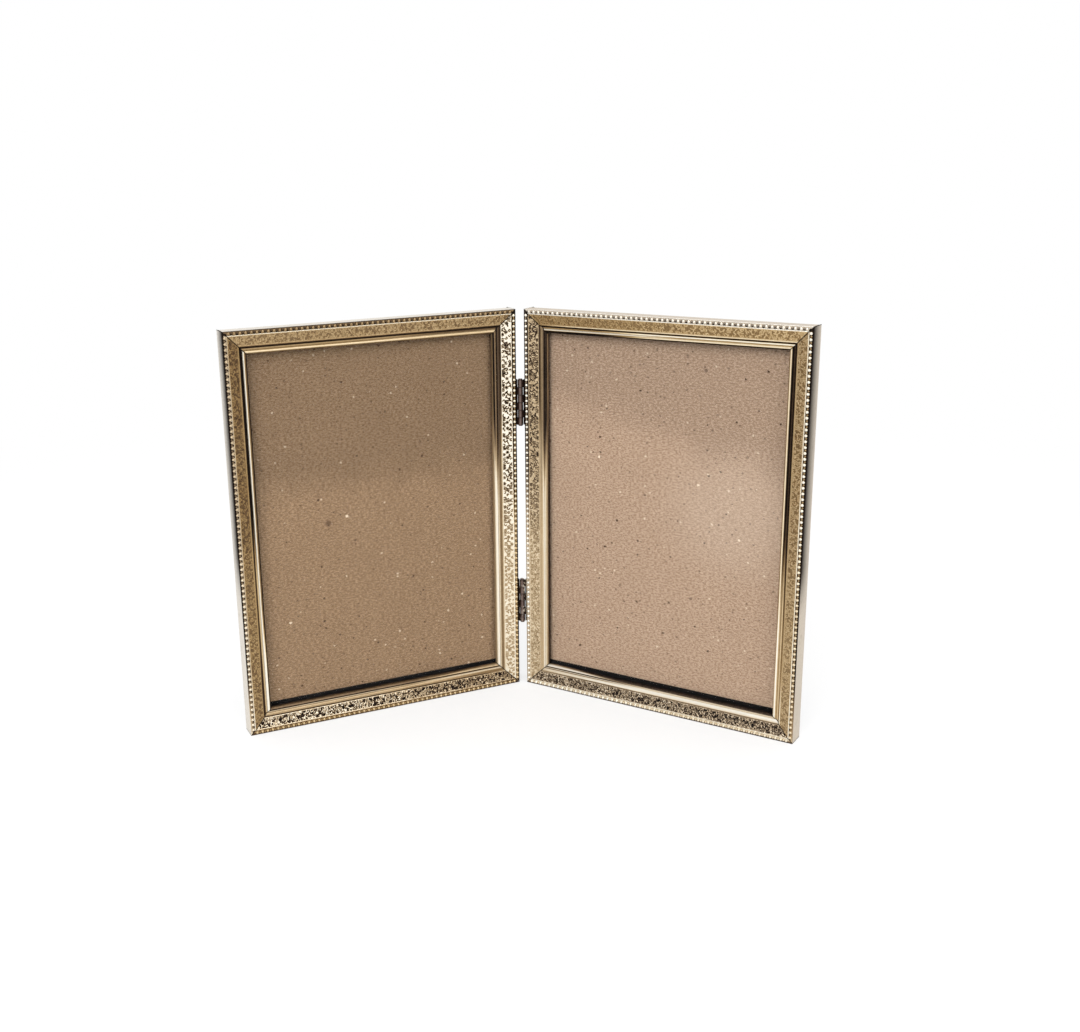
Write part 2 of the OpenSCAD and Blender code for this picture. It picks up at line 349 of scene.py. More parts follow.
@dataclass(frozen=True)
class ChipboardFinish(Finish):
    """Grey-brown chipboard with small irregular dark and cream flecks, and painted shade over its
    upper part.

    Places are in metres from the part's own origin: the height where the painted shade ends, how
    much lower that is for each metre outwards, a brown spot and, on a board that has one, a painted
    glare that stands for reflected light. Spot and glare are (X, height, radius).
    """

    name: str
    pulp: Colour
    pulp_shade: Colour
    head_from: float
    spot: tuple[float, float, float]
    bloom: tuple[float, float, float] | None = None
    bloom_share: float = 0.14
    head_share: float = 0.78
    head_lean: float = 0.0
    dark_fleck: Colour = paint(62, 42, 30)
    pale_fleck: Colour = paint(226, 208, 184)
    bloom_tint: Colour = paint(208, 192, 178)
    seed: float = 0.0

    def write(self, r: Recipe) -> None:
        """Adds the board's nodes."""
        place = r.place()
        x, _, z = r.axes(place)
        flat = r.node("ShaderNodeMapping", values={
            "Vector": place, "Location": (self.seed, 0.0, self.seed), "Scale": (1.0, 0.0, 1.0)})
        bent = r.node("ShaderNodeVectorMath", {"operation": "MULTIPLY_ADD"},
                      {0: r.noise_vector(1100.0, flat), 1: (0.0012, 0.0, 0.0012), 2: flat})
        fibres = r.node("ShaderNodeMapping", values={"Vector": flat, "Scale": (1.0, 1.0, 1.8)})
        grit = r.noise(800.0, 2.0, 0.75, fibres)
        lay = r.noise(420.0, 3.0, 0.7, fibres)
        clouds = r.noise(60.0, 3.0, 0.6, flat)
        colour = r.blend(grit.step(0.40, 0.60), self.pulp_shade, self.pulp)
        colour = r.blend(lay.step(0.40, 0.68) * 0.4, colour, self.pulp_shade)
        colour = r.blend(clouds.step(0.35, 0.7) * 0.15, colour, self.pulp_shade)
        for scale, limit, rare, strength, tint in (
            (520.0, 0.22, 0.86, 0.55, self.dark_fleck),
            (430.0, 0.18, 0.94, 0.6, self.pale_fleck),
            (330.0, 0.14, 0.91, 0.95, self.dark_fleck),
            (170.0, 0.085, 0.90, 0.95, self.dark_fleck),
            (110.0, 0.06, 0.90, 0.9, self.pale_fleck),
            (75.0, 0.05, 0.90, 0.75, self.dark_fleck),
        ):
            near, pick = r.cells(scale, bent)
            fleck = near.step(limit * 1.5, limit * 0.6) * pick.step(rare, rare + 0.01)
            colour = r.blend(fleck * strength, colour, tint)
        ragged = (lay - 0.5) * 0.0012

        def away(at_x: float, at_z: float) -> Wire:
            """How far the surface is from a point of the board."""
            return ((x - at_x) ** 2.0 + (z - at_z) ** 2.0) ** 0.5

        *at, radius = self.spot
        share = (away(*at) + ragged).step(radius, radius * 0.4) * 0.6
        colour = r.blend(share, colour, self.dark_fleck)
        # A painted glare: the glass's reflection of a bright floor, laid on the board as a pale
        # patch.
        if self.bloom:
            *at, radius = self.bloom
            share = away(*at).step(radius, radius * 0.2) * self.bloom_share
            colour = r.blend(share, colour, self.bloom_tint)
        # Painted shade over the board's upper part, with a ragged, leaning edge.
        high = z + x * self.head_lean + (clouds - 0.5) * 0.02
        head = high.step(self.head_from - 0.012, self.head_from + 0.012)
        colour = r.blend(head, colour, (self.head_share,) * 3, "MULTIPLY")
        r.finish(r.surface({
            "Base Color": colour,
            "Roughness": 0.86 + (lay - 0.5) * 0.12,
            "Specular IOR Level": 0.2,
            "Normal": r.bump(lay, 0.00008, 0.4),
        }))


@dataclass(frozen=True)
class VelourFinish(Finish):
    """Black velour with a short brushed nap."""

    name: str
    pile: Colour = paint(8, 6, 6)
    brushed: Colour = paint(19, 16, 16)

    def write(self, r: Recipe) -> None:
        """Adds the velour's nodes."""
        nap = r.noise(4200.0, 3.0, 0.7)
        sweep = r.noise(45.0, 4.0, 0.6, r.stretched((1.0, 1.0, 0.35))).step(0.35, 0.7)
        lint = r.noise(700.0, 2.0, 0.5).step(0.68, 0.76)
        colour = r.blend(sweep * 0.7, self.pile, self.brushed)
        colour = r.blend(nap.step(0.35, 0.8) * 0.45, colour, self.brushed)
        colour = r.blend(lint * 0.2, colour, paint(80, 76, 74))
        r.finish(r.surface({
            "Base Color": colour,
            "Roughness": 0.92,
            "Specular IOR Level": 0.15,
            "Sheen Weight": 0.08,
            "Sheen Roughness": 0.5,
            "Normal": r.bump(nap, 0.00012, 0.7),
        }))


@dataclass(frozen=True)
class BronzedFinish(Finish):
    """Dark bronzed hinge metal, worn pale where it rubs, most on its right side where the pale is
    also a painted highlight, and with a painted highlight down its barrel's front.

    The foot of the hinge and the height of a knuckle are in metres.
    """

    name: str
    skin: Colour = paint(62, 46, 40)
    crown: Colour = paint(126, 108, 100)
    worn: Colour = paint(222, 212, 196)
    dirt: Colour = paint(18, 12, 10)
    wear: float = 0.5
    foot: float = 0.0
    knuckle: float = 0.00375

    def write(self, r: Recipe) -> None:
        """Adds the hinge metal's nodes."""
        x, _, z = r.axes(r.place())
        rub = r.noise(420.0, 4.0, 0.65)
        pits = r.noise(2400.0, 3.0, 0.6)
        colour = r.blend(pits.step(0.45, 0.75) * 0.6, self.skin, self.dirt)
        # A painted highlight down the middle of the barrel, which leaves its flanks dark.
        off = ((x + 0.0001) ** 2.0) ** 0.5
        colour = r.blend(off.step(0.0009, 0.0001) * (0.55 + rub * 0.5), colour, self.crown)
        # Painted shade in the thin gaps between the knuckles, one knuckle's height apart.
        turn = r.node("ShaderNodeMath", {"operation": "PINGPONG"},
                      {0: (z - self.foot) / self.knuckle, 1: 0.5})
        colour = r.blend(turn.step(0.07, 0.02) * 0.85, colour, self.dirt)
        # Pale rubbed patches, mostly on the right side, where the pale is also a painted highlight.
        edge = x.step(0.0001, 0.0008)
        rubbed_and_lit = rub.step(0.72 - 0.2 * self.wear, 0.80 - 0.2 * self.wear) * (0.15 + edge * 0.85)
        colour = r.blend(rubbed_and_lit * 0.9, colour, self.worn)
        r.finish(r.surface({
            "Base Color": colour,
            "Metallic": 0.9,
            "Roughness": 0.42 - rubbed_and_lit * 0.15 + (pits - 0.5) * 0.2,
            "Normal": r.bump(pits, 0.00005, 0.4),
        }))


@dataclass(frozen=True)
class SteelFinish(Finish):
    """Plain brushed steel of the hidden corner keys."""

    name: str
    sheet: Colour = paint(176, 174, 168)
    dull: Colour = paint(120, 116, 108)

    def write(self, r: Recipe) -> None:
        """Adds the steel's nodes."""
        brush = r.noise(600.0, 4.0, 0.7, r.stretched((1.0, 1.0, 9.0)))
        spots = r.noise(160.0, 4.0, 0.6).step(0.55, 0.75)
        r.finish(r.surface({
            "Base Color": r.blend(spots * 0.6 + brush * 0.2, self.sheet, self.dull),
            "Metallic": 0.95,
            "Roughness": 0.34 + brush * 0.2,
        }))


@dataclass(frozen=True)
class GlassFinish(Finish):
    """Clear picture glass that lets the lamps through."""

    name: str
    tint: Colour = (0.985, 1.0, 0.99)
    bend: float = 1.08

    def write(self, r: Recipe) -> None:
        """Adds the glass's nodes."""
        smears = r.noise(35.0, 3.0, 0.6).step(0.5, 0.8)
        pane = r.surface({
            "Base Color": self.tint,
            "Roughness": smears * 0.02,
            "IOR": self.bend,
            "Transmission Weight": 1.0,
        })
        lamp = r.node("ShaderNodeLightPath", out="Is Shadow Ray")
        clear = r.node("ShaderNodeBsdfTransparent", values={"Color": (1.0, 1.0, 1.0)})
        r.finish(r.node("ShaderNodeMixShader", values={0: lamp, 1: pane, 2: clear}))


# Where things are


class Side(Enum):
    """One of the two leaves, by the sign of its side on the X axis."""

    LEFT = -1
    RIGHT = 1

    @property
    def word(self) -> str:
        """The name that its nodes start with."""
        return self.name.lower()


class Run(Enum):
    """Which edge of a leaf a length of moulding runs along."""

    TOP = "top_rail"
    BOTTOM = "bottom_rail"
    HINGE = "hinge_stile"
    OUTER = "outer_stile"

    @property
    def upright(self) -> bool:
        """True for the two that stand."""
        return self in (Run.HINGE, Run.OUTER)


@dataclass(frozen=True)
class LeafPlace:
    """A leaf's size and the place it stands in, in millimetres and degrees, as in the solids."""

    side: Side
    width: float = 143.0
    height: float = 193.8
    half_turn: float = 28.5
    half_gap: float = 1.55
    pivot_proud: float = 1.2
    pivot_y: float = 29.567

    def matrix(self) -> Matrix:
        """Takes millimetres from the leaf's hinge edge, front and foot to the part's frame."""
        stand = (
            Matrix.Translation((0, self.pivot_y, 0))
            @ Matrix.Rotation(math.radians(-self.half_turn), 4, "Z")
            @ Matrix.Translation((self.half_gap, self.pivot_proud, 0))
        )
        flip = Matrix.Diagonal((self.side.value, 1, 1, 1))
        return Matrix.Diagonal((MM, MM, MM, 1)) @ flip @ stand

    def run_matrix(self, run: Run) -> Matrix:
        """Takes (along, depth, inset) of a length of moulding to the part's frame.

        Args:
            run: The edge it runs along.

        Returns:
            The matrix.
        """
        if run.upright:
            swap = Matrix(((0, 0, 1, 0), (0, 1, 0, 0), (1, 0, 0, 0), (0, 0, 0, 1)))
        else:
            swap = Matrix.Identity(4)
        turn = Matrix.Identity(4)
        if run is Run.OUTER:
            turn = Matrix.Translation((self.width, 0, 0)) @ Matrix.Diagonal((-1, 1, 1, 1))
        if run is Run.TOP:
            turn = Matrix.Translation((0, 0, self.height)) @ Matrix.Diagonal((1, 1, -1, 1))
        return self.matrix() @ turn @ swap


def shown(name: str, data: bpy.types.ID) -> bpy.types.Object:
    """An object with this data, in the scene."""
    made = bpy.data.objects.new(name, data)
    bpy.context.scene.collection.objects.link(made)
    return made


def mesh_of(name: str, bm: bmesh.types.BMesh, sharp: float | None = None) -> bpy.types.Mesh:
    """A mesh of finished geometry, which is freed.

    Args:
        name: The mesh's name.
        bm: The geometry.
        sharp: The angle in degrees from which an edge stays sharp, if the rest is smooth.

    Returns:
        The mesh.
    """
    mesh = bpy.data.meshes.new(name)
    bm.to_mesh(mesh)
    bm.free()
    if sharp is not None:
        mesh.shade_smooth()
        mesh.set_sharp_from_angle(angle=math.radians(sharp))
    return mesh


def cut_off(bm: bmesh.types.BMesh, place: tuple[float, float, float],
            normal: tuple[float, float, float]) -> None:
    """Cuts off what lies beyond a plane and closes the cut.

    Args:
        bm: The geometry.
        place: A point of the plane.
        normal: The plane's normal, which points at what goes.
    """
    cut = bmesh.ops.bisect_plane(
        bm, geom=bm.verts[:] + bm.edges[:] + bm.faces[:], dist=1e-6, plane_co=place,
        plane_no=normal, clear_outer=True)
    rim = [e for e in cut["geom_cut"] if isinstance(e, bmesh.types.BMEdge)]
    bmesh.ops.edgeloop_fill(bm, edges=rim)


def settle(name: str, mesh: bpy.types.Mesh, finish: Finish, body: str, slot: str,
           *nodes: str) -> bpy.types.Object:
    """Makes a piece of a finished mesh, gives it its finish and body, and hides the CAD nodes that
    it stands for.

    Args:
        name: The piece's name.
        mesh: Its mesh, in place and in metres.
        finish: Its finish.
        body: The body that it rides on.
        slot: Not used.
        nodes: The CAD nodes that it stands for.

    Returns:
        The piece.
    """
    piece = shown(name, mesh)
    mesh.materials.append(finish.material())
    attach(piece, body)
    if nodes:
        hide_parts(*nodes)
    return piece


def dress(node: str, finish: Finish) -> None:
    """Gives a carried-over CAD node its finish.

    Args:
        node: The node's name.
        finish: The finish.
    """
    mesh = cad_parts[node].data
    mesh.materials.clear()
    mesh.materials.append(finish.material())


# The moulding


class Figure(Enum):
    """A small figure of the embossing."""

    FAN = "fan"
    CURL = "curl"
    STAR = "star"
    LEAVES = "leaves"
    COMMA = "comma"


@dataclass(frozen=True)
class Stroke:
    """One stroke of the embossing: points (along, across) and a half width, in millimetres."""

    points: tuple[tuple[float, float], ...]
    half_width: float


@dataclass(frozen=True)
class Embossing:
    """Small irregular scrollwork, struck into the band of one length of moulding."""

    seed: int
    height: float = 0.16
    half_width: float = 0.26
    motif_pitch: float = 2.1
    sunk: bool = False
    speckle: float = 0.5
    rows: int = 3
    circle: float = 6.28
    sea_level: float = 0.62
    border: float = 0.3

    def arc(self, x: float, w: float, radius: float, start: float, sweep: float,
            half: float) -> Stroke:
        """A curl.

        Args:
            x: Its middle along the strip.
            w: Its middle across the band.
            radius: Its radius.
            start: Where it starts, in radians.
            sweep: How far it turns, in radians.
            half: Its half width.

        Returns:
            The stroke.
        """
        steps = 6
        turns = [start + sweep * i / steps for i in range(steps + 1)]
        points = tuple((x + radius * math.cos(t), w + radius * math.sin(t)) for t in turns)
        return Stroke(points, half)

    def line(self, x: float, w: float, turn: float, length: float, half: float) -> Stroke:
        """A straight stroke through (x, w) at a turn from the strip's run."""
        dx, dw = math.cos(turn) * length / 2, math.sin(turn) * length / 2
        return Stroke(((x - dx, w - dw), (x + dx, w + dw)), half)

    def motif(self, rng: random.Random, x: float, w: float) -> list[Stroke]:
        """One small figure of the pattern round a point.

        Args:
            rng: Where the chance comes from.
            x: The figure's middle along the strip.
            w: Its middle across the band.

        Returns:
            Its strokes.
        """
        half = self.half_width * rng.uniform(0.8, 1.2)
        figure = rng.choice(
            (Figure.FAN, Figure.FAN, Figure.CURL, Figure.CURL, Figure.STAR, Figure.LEAVES,
             Figure.COMMA))
        lean = rng.uniform(-0.5, 0.5)
        if figure is Figure.FAN:
            upright = math.pi / 2 + lean
            return [self.line(x + i * 0.72, w + rng.uniform(-0.2, 0.2), upright + i * 0.12,
                              rng.uniform(1.1, 1.7), half) for i in (-1, 0, 1)]
        if figure is Figure.CURL:
            return [self.arc(x, w, rng.uniform(0.45, 0.7), rng.uniform(0, self.circle),
                             rng.uniform(3.2, 5.0) * rng.choice((-1, 1)), half)]
        if figure is Figure.STAR:
            return [self.line(x, w, lean + i * math.pi / 3, 1.5, half * 0.85) for i in range(3)]
        if figure is Figure.LEAVES:
            return [self.line(x - 0.35, w - 0.3, lean + 0.7, 1.2, half * 1.2),
                    self.line(x + 0.35, w + 0.3, lean - 0.7, 1.2, half * 1.2)]
        return [self.arc(x, w, 0.9, lean + rng.uniform(0, self.circle), 1.5, half * 1.15)]

    def strokes(self, length: float, band: float) -> list[Stroke]:
        """All the strokes of one strip.

        Args:
            length: The strip's length.
            band: The band's width along its slope.

        Returns:
            The strokes.
        """
        rng = random.Random(self.seed)
        made = []
        for i in range(int(length / self.motif_pitch) + 1):
            for row in range(self.rows):
                x = (i + 0.5 * (row % 2) + rng.uniform(-0.22, 0.22)) * self.motif_pitch
                w = band * (row + 0.5) / self.rows + rng.uniform(-0.2, 0.2)
                made += self.motif(rng, x, w)
        return made

    def relief(self, x: np.ndarray, w: np.ndarray, length: float, band: float) -> np.ndarray:
        """How high the embossing stands at each point, from 0 to 1.

        Args:
            x: Places along the strip, in rising order.
            w: Places across the band.
            length: The strip's length.
            band: The band's width.

        Returns:
            The heights.
        """
        best = np.full(len(x), 9.0)
        for stroke in self.strokes(length, band):
            xs = [p[0] for p in stroke.points]
            reach = stroke.half_width * 1.6
            low, high = np.searchsorted(x, (min(xs) - reach, max(xs) + reach))
            if low == high:
                continue
            px, pw = x[low:high], w[low:high]
            for (ax, aw), (bx, bw) in zip(stroke.points, stroke.points[1:]):
                dx, dw = bx - ax, bw - aw
                t = np.clip(((px - ax) * dx + (pw - aw) * dw) / (dx * dx + dw * dw), 0, 1)
                far = np.hypot(px - ax - t * dx, pw - aw - t * dw) / stroke.half_width
                best[low:high] = np.minimum(best[low:high], far)
        height = 1 - smooth(0.7, 1.2, best)
        if self.sunk:
            height = 1 - height
        border = 1 - smooth(0.12, 0.36, np.minimum(w, band - w))
        return np.maximum(height, border)


@dataclass(frozen=True)
class Moulding:
    """The rolled strip of the frame: its section in millimetres and the pearls along it.

    Insets run in from the strip's outer side and depths run back from its front plane.
    """

    back: float = 9.8
    top_back: float = 6.8
    flange: float = 3.5
    metal: float = 0.7
    edge_r: float = 0.2
    rear_r: float = 0.5
    floor_d: float = 0.35
    pearl_inset: float = 1.2
    pearl_sink: float = 0.05
    pearl_r: float = 0.74
    pearl_pitch: float = 2.6
    pearl_start: float = 3.0
    reel_inset: float = 1.05
    reel_r: float = 0.5
    wire_inset: float = 2.2
    wire_proud: float = 0.09
    wire_half: float = 0.22
    scallop: float = 0.06
    band_inset: float = 2.43
    band_end: float = 7.1
    band_fall: float = 1.85
    cove_d: float = 3.2
    lip_inset: float = 10.2
    lip_r: float = 1.0
    lip_back: float = 5.2
    lip_bow: float = 1.35
    bead_root: float = 0.1
    bed_edge: tuple[float, float] = (1.9, 0.28)
    bead_top: tuple[float, float] = (7.42, 1.80)
    slope_top: tuple[float, float] = (7.85, 2.4)
    slope_foot: tuple[float, float] = (8.45, 3.1)
    band_steps: int = 25
    step: float = 0.21
    mitre_gap: float = 0.03
    overshoot: float = 0.6

    @property
    def band_width(self) -> float:
        """The band's width along its slope."""
        return math.hypot(self.band_end - self.band_inset, self.band_fall)

    def pearls(self, length: float) -> tuple[int, float]:
        """How many pearls' pitches fill a strip of this length, and the pitch that does."""
        count = round((length - 2 * self.pearl_start) / self.pearl_pitch)
        return count, (length - 2 * self.pearl_start) / count

    def outer_points(self, top: bool) -> list[tuple[float, float]]:
        """The visible side of the section, from its rear flange round to the lip.

        Args:
            top: True for the top rail, which has no flange.

        Returns:
            Points of (inset, depth).
        """
        def arc(inset: float, depth: float, radius: float, start: int, end: int,
                steps: int) -> list[tuple[float, float]]:
            """Part of a circle, with 0 degrees to the outside and 90 to the front."""
            turns = [math.radians(start + (end - start) * i / steps) for i in range(steps + 1)]
            return [(inset - radius * math.cos(t), depth - radius * math.sin(t)) for t in turns]

        rear = [(0.0, self.top_back)] if top else [
            (self.flange, self.back),
            *arc(self.rear_r, self.back - self.rear_r, self.rear_r, -90, 0, 4),
        ]
        front = arc(self.edge_r, self.edge_r, self.edge_r, 0, 90, 4)
        groove = [(0.24, 0.03), (0.26, 0.14), (0.29, 0.28), (0.36, self.floor_d)]
        floor = [(0.7, self.floor_d), (self.pearl_inset, self.floor_d), (1.5, self.floor_d),
                 (1.82, self.floor_d), self.bed_edge]
        wire = [(1.96, 0.1), (2.04, -0.02), (self.wire_inset, -self.wire_proud), (2.36, -0.02)]
        band = [
            (self.band_inset + (self.band_end - self.band_inset) * i / self.band_steps,
             self.band_fall * i / self.band_steps)
            for i in range(self.band_steps + 1)
        ]
        bead = [(7.22, 1.80), self.bead_top, (7.62, 1.92), (7.75, 2.14)]
        cove = [self.slope_top, (8.0, 2.7), (8.2, 2.94), self.slope_foot, (8.8, 3.18)]
        lip = arc(self.lip_inset, self.cove_d, self.lip_r, 0, 180, 16)
        return rear + front + groove + floor + wire + band + bead + cove + lip + [
            (self.lip_inset + self.lip_r, self.lip_back)]

    def inner_points(self, top: bool) -> list[tuple[float, float]]:
        """The hidden side of the section, from the lip back to the rear flange.

        Args:
            top: True for the top rail.

        Returns:
            Points of (inset, depth).
        """
        back = [(self.metal, self.top_back)] if top else [
            (self.metal, self.back - self.metal), (self.flange, self.back - self.metal)]
        return [
            (10.5, self.lip_back), (10.5, 4.0), (10.2, 3.7), (9.9, 4.0), (9.9, 4.7), (8.1, 4.7),
            (6.75, 2.9), (2.6, 0.9), (2.2, 1.05), (self.metal, 1.05),
        ] + back

    def shell(self, length: float, top: bool) -> bmesh.types.BMesh:
        """The plain rolled strip, mitred at both ends and closed.

        Args:
            length: Its length along its outer side.
            top: True for the top rail.

        Returns:
            The strip with the running measure across its section in a layer.
        """
        bm = bmesh.new()
        across = bm.verts.layers.float.new("across")
        outer, inner = self.outer_points(top), self.inner_points(top)
        run = 0.0
        loop = []
        previous = outer[0]
        for point in outer + inner:
            run += math.dist(previous, point)
            previous = point
            vert = bm.verts.new((-self.overshoot, point[1], point[0]))
            vert[across] = run
            loop.append(vert)
        edges = [bm.edges.new((a, b)) for a, b in zip(loop, loop[1:] + loop[:1])]
        drawn = bmesh.ops.extrude_edge_only(bm, edges=edges)["geom"]
        far = [v for v in drawn if isinstance(v, bmesh.types.BMVert)]
        full = length + 2 * self.overshoot
        bmesh.ops.translate(bm, verts=far, vec=(full, 0, 0))
        lengthwise = [e for e in bm.edges if e.calc_length() > full / 2]
        bmesh.ops.subdivide_edges(
            bm, edges=lengthwise, cuts=round(full / self.step) - 1, use_grid_fill=False)
        for place, slope in ((self.mitre_gap, -1.0), (length - self.mitre_gap, 1.0)):
            cut_off(bm, (place, 0, 0), (slope, 0, 1))
        bmesh.ops.recalc_face_normals(bm, faces=bm.faces[:])
        return bm

    def beads(self, length: float, radius: float, inset: float, start: float) -> bmesh.types.BMesh:
        """A row of half-sunk beads in the groove.

        Args:
            length: The strip's length.
            radius: A bead's radius.
            inset: How far in its middle is.
            start: Where the first bead is along the strip, from the first pearl.

        Returns:
            The beads, each closed at the floor that it stands on.
        """
        bm = bmesh.new()
        bm.verts.layers.float.new("across")
        bmesh.ops.create_uvsphere(bm, u_segments=12, v_segments=8, radius=radius)
        quarter = Matrix.Rotation(math.pi / 2, 3, "X")
        bmesh.ops.rotate(bm, verts=bm.verts[:], cent=(0, 0, 0), matrix=quarter)
        cut_off(bm, (0, self.floor_d + self.bead_root - self.pearl_sink, 0), (0, 1, 0))
        bmesh.ops.recalc_face_normals(bm, faces=bm.faces[:])
        count, pitch = self.pearls(length)
        bmesh.ops.translate(
            bm, verts=bm.verts[:], vec=(self.pearl_start + start * pitch, self.pearl_sink, inset))
        bmesh.ops.spin(
            bm, geom=bm.verts[:] + bm.edges[:] + bm.faces[:], cent=(0, 0, 0), axis=(1, 0, 0),
            dvec=(pitch, 0, 0), angle=0.0, steps=count - (1 if start else 0), use_merge=False,
            use_duplicate=True,
        )
        return bm


@dataclass(frozen=True)
class Patina:
    """How dark each part of a strip's section is at one end, from 0 (cream) to 1 (black): patina
    together with painted highlights, painted reflections and painted shade.
    """

    roll: float
    groove: float
    pearl: float
    bed: float
    notch: float
    wire: float
    crest: float
    hollow: float
    bead: float
    seam: float
    cove: float
    rise: float
    lip: float
    flank: float
    edge: float
    back: float


@dataclass(frozen=True)
class StripLook:
    """How one length of moulding looks: its embossing and its tones at both ends, patina and
    painted light.

    The foot's tones turn into the head's at a share of the length; they differ mostly by painted
    reflections of the bright floor and the darker room. That share is rim_turn outside the band.
    Inside it is turn at the inset of the painted dark reflection in the cove, and less by taper for
    each millimetre away from it. The rim is how far the dark of the groove, painted shade in part,
    laps over the side, in millimetres. The richness is the share of the gilt's colour that is left,
    on the rim and on the rest.
    """

    embossing: Embossing
    foot: Patina
    head: Patina
    turn: float = 0.5
    rim_turn: float = 0.1
    turn_limits: tuple[float, float] = (0.1, 0.72)
    blur: float = 0.09
    taper: float = 0.14
    streak: float = 9.6
    rim: float = 0.0
    richness: float = 0.92
    rim_richness: float = 0.9

    def between(self, part: str, share: np.ndarray) -> np.ndarray:
        """The tone of a part of the section, by a share from 0 to 1 of the head's."""
        return getattr(self.foot, part) * (1 - share) + getattr(self.head, part) * share


# The sides along the hinge are darkened with painted shade where they face each other across the
# gap. The outer sides are pale, the right leaf's darker with painted shade.
SHADED_HINGE_SIDES = (paint(104, 92, 78), paint(70, 60, 50))
OUTER_SIDES = {
    Side.LEFT: (paint(226, 219, 208), paint(192, 183, 169)),
    Side.RIGHT: (paint(208, 196, 179), paint(176, 162, 143)),
}

# Most tones of these patinas weren't set by hand: a scratch program fitted them to averages of
# the photograph's brightness over each part of each length.
# These tones paint in light as well as patina: cream highlights, reflections that differ from foot
# to head, a dark reflection down the cove and shade in grooves and notches.
LOOKS: dict[Side, dict[Run, StripLook]] = {
    Side.LEFT: {
        Run.TOP: StripLook(
            Embossing(11, 0.07, 0.25, 2.2),
            Patina(1.0, .59, .58, .48, 1.0, 0.0, .46, .70, .90, .97, .75, .40, .34, .73, 1.0, 1.0),
            Patina(1.0, .69, .61, .52, 1.0, .06, .50, .70, .71, .98, .50, .53, .26, .70, 1.0, 1.0),
            richness=0.96,
        ),
        Run.BOTTOM: StripLook(
            Embossing(21, 0.16, 0.18, 1.9, speckle=1.5),
            Patina(.85, .90, .34, .44, .75, 1.0, .44, 1.0, .47, .62, .19, .28, 1.0, .42, .40, .66),
            Patina(.80, .85, .38, .31, .72, .80, .15, 1.0, 1.0, .43, .56, 0.0, 1.0, .71, .78, 1.0),
            richness=0.86, rim_richness=1.0,
        ),
        Run.HINGE: StripLook(
            Embossing(31, 0.14, 0.29, 2.45, sunk=True),
            Patina(1.0, .90, .31, .09, .75, 0.0, .16, .54, .38, .65, .22, .16, 0.0, .15, .45, .50),
            Patina(1.0, 1.0, .10, 1.0, 1.0, 1.0, .03, 1.0, 1.0, .80, 1.0, .75, .65, 1.0, .20, .90),
            richness=0.84, rim_richness=1.0, turn=0.53, rim_turn=0.5, taper=-0.07, streak=9.5,
        ),
        Run.OUTER: StripLook(
            Embossing(41, 0.05, 0.25, 2.2),
            Patina(.20, .30, .20, .23, 1.0, 0.0, .53, .74, .95, .92, .33, 0.0, 0.0, 1.0, 1.0, 1.0),
            Patina(.97, 1.0, .40, 0.0, .95, .38, .62, .80, .54, 1.0, 1.0, 0.0, .73, 1.0, 1.0, 1.0),
            richness=1.0, rim_richness=0.8, streak=8.8, rim=0.35,
        ),
    },
    Side.RIGHT: {
        Run.TOP: StripLook(
            Embossing(16, 0.07, 0.25, 2.2),
            Patina(.03, .31, .20, .10, .95, 0.0, .52, .67, .69, 1.0, .58, 0.0, 1.0, 1.0, .87, .77),
            Patina(.02, .36, .20, .26, 1.0, 0.0, .40, .67, .16, 1.0, 0.0, .42, .16, 1.0, 1.0, 1.0),
            richness=1.0, rim_richness=0.5,
        ),
        Run.BOTTOM: StripLook(
            Embossing(26, 0.12, 0.17, 1.7, speckle=2.0),
            Patina(.90, .65, .05, 0.0, .35, 0.0, .39, .94, .56, .17, .69, 0.0, 1.0, 0.0, 0.0, 1.0),
            Patina(.95, .75, .20, 0.0, .30, 0.0, .45, 1.0, .82, 0.0, .04, .34, .29, .88, .97, 1.0),
            richness=0.74, rim_richness=0.8,
        ),
        Run.HINGE: StripLook(
            Embossing(36, 0.12, 0.22, 1.9, sunk=True, speckle=0.8),
            Patina(.20, .30, 0.0, .15, .50, .25, .36, .60, .45, .38, .02, .18, .16, .45, .90, 1.0),
            Patina(1.0, .90, .05, 1.0, 1.0, 1.0, .44, 1.0, 1.0, .60, .80, .85, 1.0, .94, .30, 1.0),
            richness=0.84, rim_richness=0.7, turn=0.54, rim_turn=0.54, taper=-0.07, streak=9.5,
        ),
        Run.OUTER: StripLook(
            Embossing(46, 0.05, 0.25, 2.2),
            Patina(.67, .35, .25, .25, .90, 0.0, .46, .66, 0.0, .58, .30, .42, 0.0, .28, .46, 0.0),
            Patina(1.0, 1.0, .05, .71, 1.0, 0.0, .42, .68, .62, 1.0, .88, 1.0, .21, .56, .71, .35),
            richness=0.94, streak=9.2, rim=0.45,
        ),
    },
}


